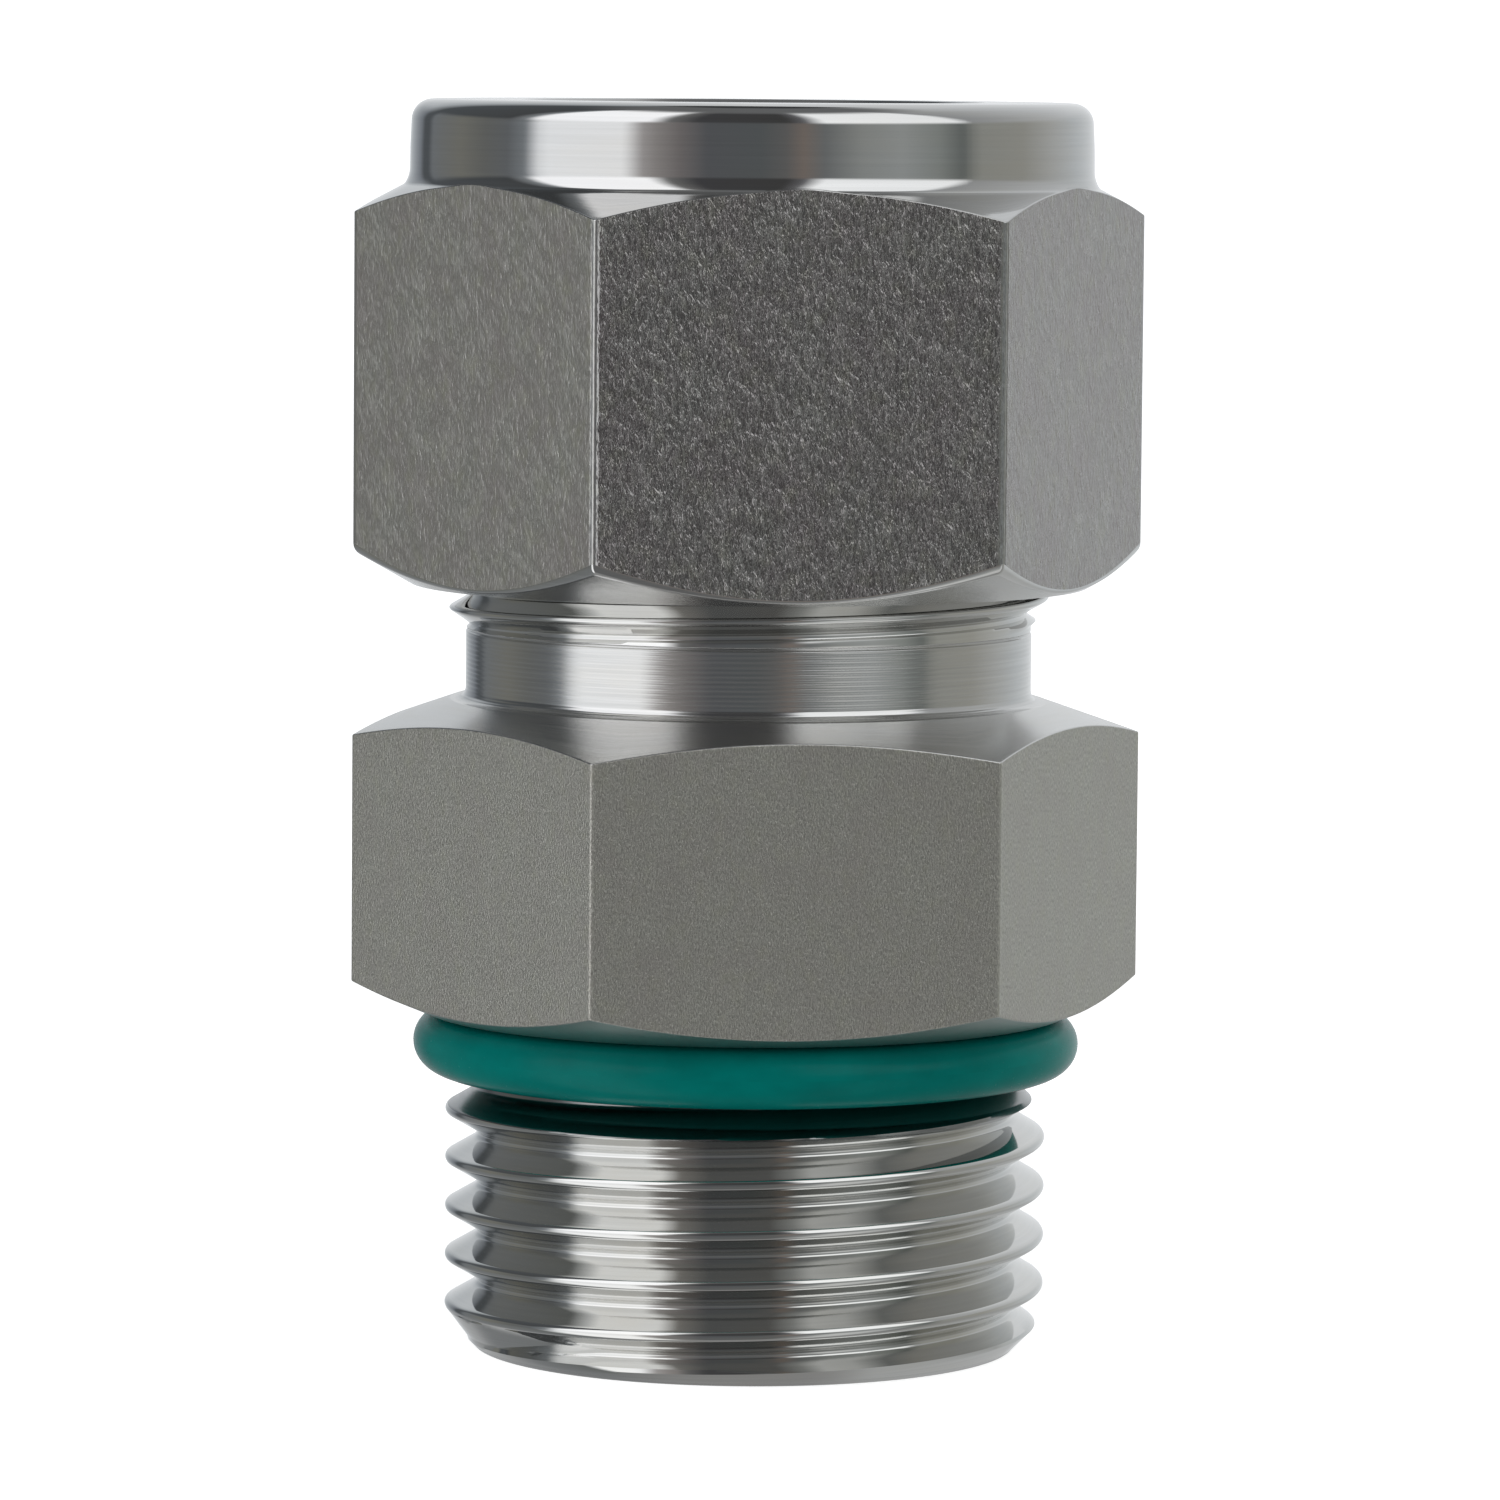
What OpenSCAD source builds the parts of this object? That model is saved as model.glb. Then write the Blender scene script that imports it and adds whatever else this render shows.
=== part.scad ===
// Straight compression adapter for round tube: a body with a straight male
// port thread and an elastomer ring below its hexagon, and a nut that closes
// two ferrules onto the tube above it.
// Millimetres. The axis of every piece is Z. Z = 0 is the end face of the
// port thread, so the origin is the middle of the face the fitting stands on.
// The nut is finger tight on the ferrules, as the fitting is supplied.

/* [Hexagons] */
// Width across the flats of the body hexagon
body_af = 25.4; // [25:0.1:26.5]
// Width across the flats of the nut hexagon
nut_af = 25.4; // [25:0.1:26.5]
// Angle of the chamfers above and below the body hexagon, in degrees
body_chamfer = 22.5; // [15:0.5:26]
// Angle of the chamfer between the nut hexagon and its collar, in degrees
nut_top_chamfer = 23.5; // [18:0.5:28]
// Angle of the chamfer below the nut hexagon, in degrees
nut_low_chamfer = 29.5; // [26:0.5:36]
// Turn of the nut hexagon against the body hexagon, in degrees
nut_clock = 0; // [-30:1:30]

/* [Port end] */
// Outer radius of the port thread (14 threads to the inch)
port_r = 11.1; // [10.9:0.05:11.2]
// Radius of the port thread's end face, inside its chamfer
port_end_r = 9.7; // [9.3:0.1:10]
// Height of the chamfer at the end of the port thread
port_end_chamfer = 1.2; // [0.8:0.1:1.6]
// Height from the end face to the last full turn of the port thread
port_thread_top = 9; // [8:0.1:9.2]
// Length of the port end, from its end face to the hexagon
stud_length = 12.5; // [12.3:0.1:13.5]
// Radius of the groove that carries the ring
groove_r = 9.9; // [9.7:0.05:10]

/* [Ring] */
// Radius of the ring's round section
ring_section_r = 1.23; // [1.1:0.01:1.3]
// Play between the ring and the two faces it lies against
ring_play = 0.01; // [0:0.01:0.1]

/* [Body] */
// Height of the body hexagon with both of its chamfers
body_hex_h = 11.5; // [10.5:0.1:12.5]
// Radius of the flat face above the body hexagon
body_top_face_r = 11.6; // [11.2:0.1:12]
// Radius of the flat face below the body hexagon
body_low_face_r = 11.9; // [11.4:0.1:12.2]
// Radius of the plain neck between the hexagon and the upper thread
neck_r = 10.42; // [10.2:0.02:10.6]
// Length of the plain neck
neck_length = 2.4; // [2:0.1:2.6]
// Radius of the run-out groove above the neck
runout_r = 10.3; // [10:0.05:10.4]
// Outer radius of the upper thread that the nut turns on (20 threads to the inch)
nut_thread_r = 11.05; // [10.9:0.01:11.08]
// Height of the upper end of the body
body_end_z = 37; // [36.6:0.1:37.2]

/* [Passage] */
// Radius of the flow passage
flow_r = 6.35; // [5.5:0.05:6.6]
// Radius of the socket that the tube end stands in
socket_r = 7.99; // [7.95:0.01:8]
// Height of the shoulder that the tube end stands on
shoulder_z = 21.6; // [20:0.1:23]
// Half angle of the cone that the front ferrule seats in, in degrees
seat_angle = 20; // [18:1:22]
// Length of the seat cone
seat_length = 3.3; // [3:0.1:3.5]

/* [Nut] */
// Height of the lower face of the nut
nut_z0 = 28.25; // [27.9:0.05:28.5]
// Overall length of the nut
nut_length = 17.75; // [17.5:0.05:18.1]
// Radius of the flat face below the nut hexagon
nut_low_face_r = 12.5; // [12.2:0.05:12.6]
// Radius of the turned collar on top of the nut
collar_r = 12.65; // [12.4:0.05:12.7]
// Height of the collar, from its upper face down to the chamfer
collar_h = 3.15; // [2.6:0.05:3.4]
// Rounding of the collar's upper edge
collar_round = 0.6; // [0.3:0.1:0.9]
// Radius of the tube hole in the nut
nut_hole_r = 8.1; // [8.05:0.05:8.3]
// Gap all round between the two mating threads
thread_play = 0.05; // [0.02:0.01:0.09]
// Depth of the threaded part of the nut
nut_thread_depth = 10.7; // [10.4:0.1:10.9]
// Radius of the chamber that holds the ferrules
chamber_r = 9.75; // [9.7:0.05:10]

/* [Ferrules] */
// Radius of the hole in both ferrules
ferrule_hole_r = 8.01; // [8:0.01:8.06]
// Height of the front ferrule's nose
nose_z = 34.5; // [34.3:0.1:34.8]
// Outer radius of the front ferrule
front_r = 9.42; // [9.3:0.02:9.5]
// Height of the front ferrule's rear face
front_top_z = 39.5; // [39.3:0.1:39.8]
// Outer radius of the back ferrule
back_r = 9.36; // [9.2:0.02:9.5]
// Height at which the chamfer on the back of the back ferrule begins
back_chamfer_z = 40.85; // [40.6:0.05:41]
// Axial gap at each of the three seats while the nut is finger tight
seat_gap = 0.04; // [0.02:0.01:0.1]

/* [Hidden] */
$fn = 96;
eps = 0.5;
body_corner = body_af / 2 / cos(30);
nut_corner = nut_af / 2 / cos(30);
body_hex_top = stud_length + body_hex_h;
neck_top = body_hex_top + neck_length;
nut_top = nut_z0 + nut_length;
collar_z0 = nut_top - collar_h;
seat_z0 = body_end_z - seat_length;
seat_mouth_r = socket_r + seat_length * tan(seat_angle);
// the back cone of the nut is 45 degrees, and lies seat_gap behind the back ferrule
back_cone_r = back_r - 1.1;
nut_cone_z0 = back_chamfer_z + seat_gap - (chamber_r - back_r);
collar_edge_z = nut_top - collar_round;
nut_cone_h = chamber_r - nut_hole_r;

// The radius of the seat cone at height z, on the front ferrule's side of the gap
function seat_r(z) = socket_r + (z - seat_z0 - seat_gap) * tan(seat_angle);

// A hexagonal bar with one pair of flats facing -Y and +Y
module hex_bar(af, z0, h) {
    translate([0, 0, z0]) cylinder(d = af / cos(30), h = h, $fn = 6);
}

// The turned envelope that cuts a hexagon's corners: flat faces of the given
// radii, and a cone from each out past the corners
module hex_envelope(corner, z0, r0, a0, z1, r1, a1) {
    out = corner + 1;
    rotate_extrude() polygon([
        [0, z0], [r0, z0], [out, z0 + (out - r0) * tan(a0)],
        [out, z1 - (out - r1) * tan(a1)], [r1, z1], [0, z1]]);
}

// A plain hole along Z
module hole(r, z0, z1) {
    translate([0, 0, z0]) cylinder(r = r, h = z1 - z0);
}

// A conical hole along Z
module cone_hole(r0, z0, r1, z1) {
    rotate_extrude() polygon([[0, z0], [r0, z0], [r1, z1], [0, z1]]);
}

module body() {
    color([0.60, 0.60, 0.58]) difference() {
        union() {
            // hexagon
            intersection() {
                hex_bar(body_af, stud_length, body_hex_h);
                hex_envelope(body_corner, stud_length, body_low_face_r, body_chamfer,
                             body_hex_top, body_top_face_r, body_chamfer);
            }
            // port thread at its outer radius, and the groove for the ring
            rotate_extrude() polygon([
                [0, 0], [port_end_r, 0], [port_r, port_end_chamfer],
                [port_r, port_thread_top],
                [groove_r, port_thread_top + (port_r - groove_r) * tan(30)],
                [groove_r, stud_length + eps], [0, stud_length + eps]]);
            // neck with its small foot, run-out groove and upper thread at its outer radius
            rotate_extrude() polygon([
                [0, body_hex_top - eps], [neck_r + 0.25, body_hex_top - eps],
                [neck_r + 0.25, body_hex_top + 0.12], [neck_r, body_hex_top + 0.4],
                [neck_r, neck_top], [runout_r, neck_top + 0.06],
                [runout_r, neck_top + 0.42], [nut_thread_r, neck_top + 1.15],
                [nut_thread_r, body_end_z - 0.65], [nut_thread_r - 0.65, body_end_z],
                [0, body_end_z]]);
        }
        hole(flow_r, -1, shoulder_z + 1);
        hole(socket_r, shoulder_z, body_end_z + 1);
        // seat for the front ferrule
        cone_hole(socket_r, seat_z0, seat_mouth_r + tan(seat_angle), body_end_z + 1);
        // edge break at the passage's mouth
        cone_hole(flow_r + 0.8, -0.4, flow_r, 0.4);
    }
}

module nut() {
    color([0.52, 0.51, 0.50]) rotate([0, 0, nut_clock]) difference() {
        union() {
            intersection() {
                hex_bar(nut_af, nut_z0, nut_length - 1);
                hex_envelope(nut_corner, nut_z0, nut_low_face_r, nut_low_chamfer,
                             collar_z0 + 0.4, collar_r - 0.4 / tan(nut_top_chamfer),
                             nut_top_chamfer);
            }
            // collar with a rounded upper edge
            rotate_extrude() {
                translate([0, collar_z0 - eps])
                    square([collar_r, collar_h + eps - collar_round]);

                translate([0, collar_edge_z - eps])
                    square([collar_r - collar_round, collar_round + eps]);
                translate([collar_r - collar_round, collar_edge_z])
                    circle(r = collar_round);
            }
        }
        // tube hole with an edge break at its mouth
        hole(nut_hole_r, nut_z0, nut_top + 1);
        cone_hole(nut_hole_r, nut_top - 0.5, nut_hole_r + 1, nut_top + 0.5);
        // back cone and chamber for the ferrules
        cone_hole(chamber_r, nut_cone_z0, nut_hole_r, nut_cone_z0 + nut_cone_h);
        hole(chamber_r, nut_z0 - 1, nut_cone_z0);
        // threaded bore at the outer radius of its thread
        hole(nut_thread_r + thread_play, nut_z0 - 1, nut_z0 + nut_thread_depth);
        cone_hole(nut_thread_r + thread_play + 0.8, nut_z0 - 0.4,
                  nut_thread_r + thread_play, nut_z0 + 0.4);
    }
}

module front_ferrule() {
    taper_top = seat_z0 + seat_gap + (front_r - socket_r) / tan(seat_angle);
    color([0.70, 0.70, 0.69]) difference() {
        rotate_extrude() polygon([
            [0, nose_z], [seat_r(nose_z), nose_z],
            [front_r, taper_top], [front_r, front_top_z - 0.25],
            [front_r - 0.25, front_top_z], [0, front_top_z]]);
        hole(ferrule_hole_r, nose_z - 1, front_top_z + 1);
        // recess that the back ferrule's nose stands in
        cone_hole(ferrule_hole_r, front_top_z - 1.1, back_cone_r + 0.75, front_top_z);
    }
}

module back_ferrule() {
    // the nose has the recess's angle, and stands seat_gap above it
    nose = front_top_z - 1.1 + seat_gap;
    slope = (back_cone_r + 0.75 - ferrule_hole_r) / 1.1;
    tip_z = nose + 0.25 / slope;
    flange_z = front_top_z + seat_gap + 0.12;
    color([0.72, 0.72, 0.71]) difference() {
        rotate_extrude() polygon([
            [0, tip_z], [ferrule_hole_r + 0.25, tip_z],
            [ferrule_hole_r + (front_top_z + seat_gap - nose) * slope, front_top_z + seat_gap],
            [ferrule_hole_r + (front_top_z + seat_gap - nose) * slope, flange_z],
            [back_r - 0.15, flange_z], [back_r, flange_z + 0.15],
            [back_r, back_chamfer_z],
            [back_cone_r, back_chamfer_z + 1.1], [0, back_chamfer_z + 1.1]]);
        hole(ferrule_hole_r, nose - 1, back_chamfer_z + 2);
    }
}

module o_ring() {
    color([0.0, 0.39, 0.34])
        translate([0, 0, stud_length - ring_section_r - ring_play])
            rotate_extrude()
                translate([groove_r + ring_section_r + ring_play, 0])
                    circle(r = ring_section_r);
}

body();
nut();
front_ferrule();
back_ferrule();
o_ring();
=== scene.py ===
import math

import bpy
import numpy as np
from mathutils import Matrix, Vector


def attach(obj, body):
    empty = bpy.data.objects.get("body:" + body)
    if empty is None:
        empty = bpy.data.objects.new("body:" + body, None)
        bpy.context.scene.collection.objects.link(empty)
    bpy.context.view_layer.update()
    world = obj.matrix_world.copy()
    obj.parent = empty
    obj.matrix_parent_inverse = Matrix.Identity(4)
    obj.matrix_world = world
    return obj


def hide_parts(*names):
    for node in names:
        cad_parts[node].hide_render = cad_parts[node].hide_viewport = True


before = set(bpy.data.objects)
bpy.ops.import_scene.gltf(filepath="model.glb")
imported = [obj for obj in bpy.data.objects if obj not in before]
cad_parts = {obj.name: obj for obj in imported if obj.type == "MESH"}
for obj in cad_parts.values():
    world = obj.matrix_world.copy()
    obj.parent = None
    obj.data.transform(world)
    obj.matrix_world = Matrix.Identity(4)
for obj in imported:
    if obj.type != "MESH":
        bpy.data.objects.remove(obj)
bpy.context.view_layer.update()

MM = 0.001
TAU = 2.0 * math.pi

# ---------------------------------------------------------------- sizes, mm
HEX_A = 12.70            # half the width across the flats
BODY_EDGE = 0.12         # round on the upright edges of the hexagons
NUT_EDGE = 0.15
NUT_Z = 28.27             # the nut's lower face
PORT_PITCH = 1.814
NECK_PITCH = 1.27
VIEW_AZ = -7.9           # the photograph's direction, degrees
VIEW_EL = 4.98

# ---------------------------------------------------------------- columns
def columns():
    """Angles of the columns: every 2 degrees, with extra ones round each hexagon corner. First one repeated at the end."""
    extra = [-0.60, -0.49, -0.35, -0.23, -0.11, 0.0, 0.11, 0.23, 0.35, 0.49, 0.60]
    a = [float(x) for x in range(0, 360, 2) if x % 60 != 0]
    for c in range(0, 360, 60):
        a += [c + e for e in extra]
    a = sorted(x % 360.0 for x in a)
    return np.radians(np.array(a + [a[0] + 360.0]))


TH = columns()
NC = len(TH)


def hex_radius(th, edge):
    """Radius of the hexagon with rounded corners at each angle. A corner is at 0 degrees, a flat at -90."""
    d = (np.degrees(th) + 30.0) % 60.0 - 30.0          # angle from the nearest corner
    d = np.radians(d)
    flat = HEX_A / np.cos(math.radians(30.0) - np.abs(d))
    c = (HEX_A - edge) / math.cos(math.radians(30.0))
    lim = math.atan(edge * 0.5 / (c + edge * math.cos(math.radians(30.0))))
    arc = c * np.cos(d) + np.sqrt(np.maximum(edge ** 2 - (c * np.sin(d)) ** 2, 0.0))
    return np.where(np.abs(d) <= lim, arc, flat)


def hex_u(th):
    """Distance along the hexagon's outline, mm."""
    deg = np.degrees(th)
    k = np.floor(deg / 60.0)
    phi = np.radians(deg - (k * 60.0 + 30.0))
    return k * 14.664 + HEX_A * np.tan(phi)


HU = hex_u(TH)


# ---------------------------------------------------------------- rows
class Rows:
    """Rings of points, from which a closed skin of revolution is made. Each ring has a radius and a height for every column."""

    def __init__(self):
        self.r, self.z, self.v, self.tag = [], [], [], []

    def add(self, r, z, tag, v=None):
        r = np.broadcast_to(np.asarray(r, float), (NC,)).copy()
        z = np.broadcast_to(np.asarray(z, float), (NC,)).copy()
        if v is None:
            if self.r:
                step = np.hypot(r[0] - self.r[-1][0], z[0] - self.z[-1][0])
                v = self.v[-1][0] + step
            else:
                v = 0.0
        self.r.append(r)
        self.z.append(z)
        self.v.append(np.broadcast_to(np.asarray(v, float), (NC,)).copy())
        self.tag.append(tag)

    def bend(self, p, a, b, rad, n, tag_before, tag_after, support=0.03, v_is_z=False):
        """A rounded corner at p. a and b are unit directions from p back along the skin and on along it."""
        p = np.stack([np.broadcast_to(np.asarray(x, float), (NC,)) for x in p])
        a = np.stack([np.broadcast_to(np.asarray(x, float), (NC,)) for x in a])
        b = np.stack([np.broadcast_to(np.asarray(x, float), (NC,)) for x in b])
        cosang = np.clip((a * b).sum(0), -1.0, 1.0)
        half = np.arccos(cosang) / 2.0
        t = rad / np.tan(half)
        mid = a + b
        mid = mid / np.maximum(np.linalg.norm(mid, axis=0), 1e-9)
        c = p + mid * (rad / np.sin(half))
        n0 = (p + a * t - c) / rad
        n1 = (p + b * t - c) / rad
        full = np.arccos(np.clip((n0 * n1).sum(0), -1.0, 1.0))
        pts = [p + a * (t + support)]
        for k in range(n + 1):
            f = k / n
            w0 = np.sin((1 - f) * full) / np.maximum(np.sin(full), 1e-9)
            w1 = np.sin(f * full) / np.maximum(np.sin(full), 1e-9)
            pts.append(c + rad * (n0 * w0 + n1 * w1))
        pts.append(p + b * (t + support))
        for k, q in enumerate(pts):
            tag = tag_before if k < (len(pts) - 1) // 2 else tag_after
            self.add(q[0], q[1], tag, v=q[1] if v_is_z else None)

    def corner(self, prev, p, nxt, rad, tag_before, tag_after, n=3, support=0.03, v_is_z=False):
        """A rounded corner at p, between the points prev and nxt."""
        pr, pp, pn = (
            np.stack([np.broadcast_to(np.asarray(x, float), (NC,)) for x in q]) for q in (prev, p, nxt)
        )
        a = (pr - pp) / np.linalg.norm(pr - pp, axis=0)
        b = (pn - pp) / np.linalg.norm(pn - pp, axis=0)
        self.bend(pp, a, b, rad, n, tag_before, tag_after, support, v_is_z)

    def path(self, pts, tag):
        """Points (r, z, round) of a plain turned outline; the first and last get no round."""
        for k, q in enumerate(pts):
            if len(q) > 2 and q[2] > 0 and 0 < k < len(pts) - 1:
                self.corner(pts[k - 1][:2], q[:2], pts[k + 1][:2], q[2], tag, tag, n=q[3] if len(q) > 3 else 3,
                            support=min(0.03, q[2] * 0.4))
            else:
                self.add(q[0], q[1], tag)

    def thread(self, z0, z1, pitch, crest, phases, outline, limit, tag, down=False, length=2.0, soft=0.05):
        """Rings along a screw thread from z0 to z1. crest(th) is a crest's height, outline(s) the radius s mm from a crest."""
        zc = crest(TH)
        m0 = math.floor((z0 - zc.max()) / pitch) - 1
        m1 = math.ceil((z1 - zc.min()) / pitch) + 1
        rings = [(m, f) for m in range(m0, m1 + 1) for f in phases]
        if down:
            rings = rings[::-1]
        base = self.v[-1][0] + 0.5 if self.v else 0.0
        for m, f in rings:
            z = zc + pitch * (m + f)
            if z.max() < z0 - 1e-9 or z.min() > z1 + 1e-9:
                continue
            zz = np.clip(z, z0, z1)
            s = (zz - zc) / pitch
            s = (s - np.round(s)) * pitch
            r = limit(zz, outline(s), soft)
            self.add(r, zz, tag, v=base + abs(m - m0 + f) * length)


def soft_min(a, b, k):
    h = np.maximum(k - np.abs(a - b), 0.0) / k
    return np.minimum(a, b) - h * h * k * 0.25


def soft_max(a, b, k):
    return -soft_min(-a, -b, k)


def vee(s, top, rc, rr, pitch):
    """A 60 degree thread's radius s mm from its crest: round crest, straight flank, round root."""
    s = np.abs(s)
    k3 = math.sqrt(3.0)
    sc = rc * k3 / 2.0
    flank = top - rc * 0.5 - (s - sc) * k3
    crest = top - rc + np.sqrt(np.maximum(rc * rc - np.minimum(s, sc) ** 2, 0.0))
    sr = rr * k3 / 2.0
    q = np.maximum(pitch / 2.0 - s, 0.0)
    low = top - rc * 0.5 - (pitch / 2.0 - sr - sc) * k3 - rr * 0.5
    root = low + rr - np.sqrt(np.maximum(rr * rr - np.minimum(q, sr) ** 2, 0.0))
    return np.where(s < sc, crest, np.where(q < sr, root, flank))


# ---------------------------------------------------------------- mesh
def build(name, rows, mats, sharp=34.0):
    """Joins the rings into a closed mesh, with the last ring joined to the first."""
    R = np.array(rows.r + [rows.r[0]])
    Z = np.array(rows.z + [rows.z[0]])
    step = math.hypot(R[-1][0] - R[-2][0], Z[-1][0] - Z[-2][0])
    V = np.array(rows.v + [rows.v[-1] + step])
    m, n = R.shape
    ang = TH.copy()
    ang[-1] = TH[0]
    X = R * np.cos(ang)
    Y = R * np.sin(ang)
    co = np.stack([X, Y, Z], -1).reshape(-1, 3)
    key = np.round(co * 1e5).astype(np.int64)
    _, first, inverse = np.unique(key, axis=0, return_index=True, return_inverse=True)
    inverse = inverse.reshape(-1)
    verts = co[first]
    idx = np.arange(m * n).reshape(m, n)
    a, b, c, d = idx[:-1, :-1], idx[:-1, 1:], idx[1:, 1:], idx[1:, :-1]
    quads = np.stack([a, b, c, d], -1).reshape(-1, 4)
    tags = np.repeat(np.array(rows.tag), n - 1)
    u_turn = TH * 11.0
    u_all = np.broadcast_to(u_turn, (m, n)).reshape(-1)
    uh_all = np.broadcast_to(HU, (m, n)).reshape(-1)
    v_all = V.reshape(-1)
    w = inverse[quads]
    faces, corners, mat = [], [], []
    same = [w[:, k] == w[:, (k + 1) % 4] for k in range(4)]
    any_same = same[0] | same[1] | same[2] | same[3] | (w[:, 0] == w[:, 2]) | (w[:, 1] == w[:, 3])
    for f in range(len(w)):
        if not any_same[f]:
            faces.append(tuple(int(x) for x in w[f]))
            corners.extend(int(x) for x in quads[f])
            mat.append(int(tags[f]))
            continue
        ids, cs = [], []
        for k in range(4):
            i = int(w[f, k])
            if i not in ids:
                ids.append(i)
                cs.append(int(quads[f, k]))
        if len(ids) == 3:
            faces.append(tuple(ids))
            corners.extend(cs)
            mat.append(int(tags[f]))
    tri = np.array([[q[0], q[1], q[2]] for q in faces] + [[q[0], q[2], q[3]] for q in faces if len(q) == 4])
    p0, p1, p2 = verts[tri[:, 0]], verts[tri[:, 1]], verts[tri[:, 2]]
    volume = (p0 * np.cross(p1, p2)).sum() / 6.0
    me = bpy.data.meshes.new(name)
    if volume < 0:
        order, pos = [], 0
        for k, q in enumerate(faces):
            order.extend(corners[pos:pos + len(q)][::-1])
            pos += len(q)
            faces[k] = q[::-1]
        corners = order
    me.from_pydata((verts * MM).tolist(), [], faces)
    me.polygons.foreach_set("material_index", np.array(mat, np.int32))
    me.polygons.foreach_set("use_smooth", np.ones(len(faces), bool))
    uv = me.uv_layers.new(name="skin")
    corners = np.array(corners)
    is_flat = np.zeros(len(corners), bool)
    sizes = np.array([len(q) for q in faces])
    is_flat = np.repeat(np.array(mat) == 1, sizes)
    u = np.where(is_flat, uh_all[corners], u_all[corners])
    uv.data.foreach_set("uv", np.stack([u, v_all[corners]], -1).astype(np.float32).ravel())
    for mt in mats:
        me.materials.append(mt)
    me.validate(verbose=False)
    me.set_sharp_from_angle(angle=math.radians(sharp))
    me.update()
    ob = bpy.data.objects.new(name, me)
    bpy.context.scene.collection.objects.link(ob)
    print(name, len(me.vertices), "points", sum(len(q) - 2 for q in faces), "triangles", round(abs(volume), 1), "mm3")
    return ob


# ---------------------------------------------------------------- materials
class Graph:
    def __init__(self, tree):
        self.t = tree
        self.n = tree.nodes
        self.l = tree.links

    def node(self, kind, **values):
        nd = self.n.new(kind)
        for k, v in values.items():
            if k.startswith("in_"):
                continue
            setattr(nd, k, v)
        return nd

    def put(self, socket, value):
        if isinstance(value, bpy.types.NodeSocket):
            self.l.new(value, socket)
        else:
            socket.default_value = value

    def math(self, op, a, b=0.0, c=0.0, clamp=False):
        nd = self.node("ShaderNodeMath", operation=op, use_clamp=clamp)
        self.put(nd.inputs[0], a)
        if len(nd.inputs) > 1:
            self.put(nd.inputs[1], b)
        if op in ("MULTIPLY_ADD", "WRAP", "SMOOTH_MIN", "SMOOTH_MAX"):
            self.put(nd.inputs[2], c)
        return nd.outputs[0]

    def ramp(self, fac, stops, mode="LINEAR"):
        nd = self.node("ShaderNodeValToRGB")
        cr = nd.color_ramp
        cr.interpolation = mode
        while len(cr.elements) > 1:
            cr.elements.remove(cr.elements[-1])
        cr.elements[0].position = stops[0][0]
        c0 = stops[0][1]
        cr.elements[0].color = (*c0, 1.0) if hasattr(c0, "__len__") else (c0, c0, c0, 1.0)
        for pos, c in stops[1:]:
            e = cr.elements.new(pos)
            e.color = (*c, 1.0) if hasattr(c, "__len__") else (c, c, c, 1.0)
        self.put(nd.inputs[0], fac)
        return nd.outputs[0]

    def range(self, x, a, b, c, d, smooth=False):
        nd = self.node("ShaderNodeMapRange", interpolation_type="SMOOTHSTEP" if smooth else "LINEAR")
        self.put(nd.inputs[0], x)
        for k, val in enumerate((a, b, c, d)):
            self.put(nd.inputs[k + 1], val)
        return nd.outputs[0]

    def mix(self, fac, a, b, blend="MIX"):
        nd = self.node("ShaderNodeMix", data_type="RGBA", blend_type=blend, clamp_factor=True)
        self.put(nd.inputs[0], fac)
        self.put(nd.inputs[6], a if isinstance(a, bpy.types.NodeSocket) else (*a, 1.0))
        self.put(nd.inputs[7], b if isinstance(b, bpy.types.NodeSocket) else (*b, 1.0))
        return nd.outputs[2]

    def mapping(self, vec, scale=(1, 1, 1), rot=(0, 0, 0), loc=(0, 0, 0)):
        nd = self.node("ShaderNodeMapping")
        self.put(nd.inputs[0], vec)
        nd.inputs[1].default_value = loc
        nd.inputs[2].default_value = rot
        nd.inputs[3].default_value = scale
        return nd.outputs[0]

    def noise(self, vec, scale, detail=2.0, rough=0.5, distortion=0.0):
        nd = self.node("ShaderNodeTexNoise", noise_dimensions="3D")
        self.put(nd.inputs["Vector"], vec)
        nd.inputs["Scale"].default_value = scale
        nd.inputs["Detail"].default_value = detail
        nd.inputs["Roughness"].default_value = rough
        nd.inputs["Distortion"].default_value = distortion
        return nd.outputs[0]

    def bump(self, height, distance, strength=1.0, normal=None):
        nd = self.node("ShaderNodeBump")
        nd.inputs["Strength"].default_value = strength
        nd.inputs["Distance"].default_value = distance
        self.put(nd.inputs["Height"], height)
        if normal is not None:
            self.put(nd.inputs["Normal"], normal)
        return nd.outputs[0]


def new_material(name):
    mt = bpy.data.materials.new(name)
    mt.use_nodes = True
    mt.node_tree.nodes.clear()
    g = Graph(mt.node_tree)
    bs = g.node("ShaderNodeBsdfPrincipled")
    out = g.node("ShaderNodeOutputMaterial")
    g.l.new(bs.outputs[0], out.inputs[0])
    return mt, g, bs


def skin_uv(g):
    return g.node("ShaderNodeUVMap", uv_map="skin").outputs[0]


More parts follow.
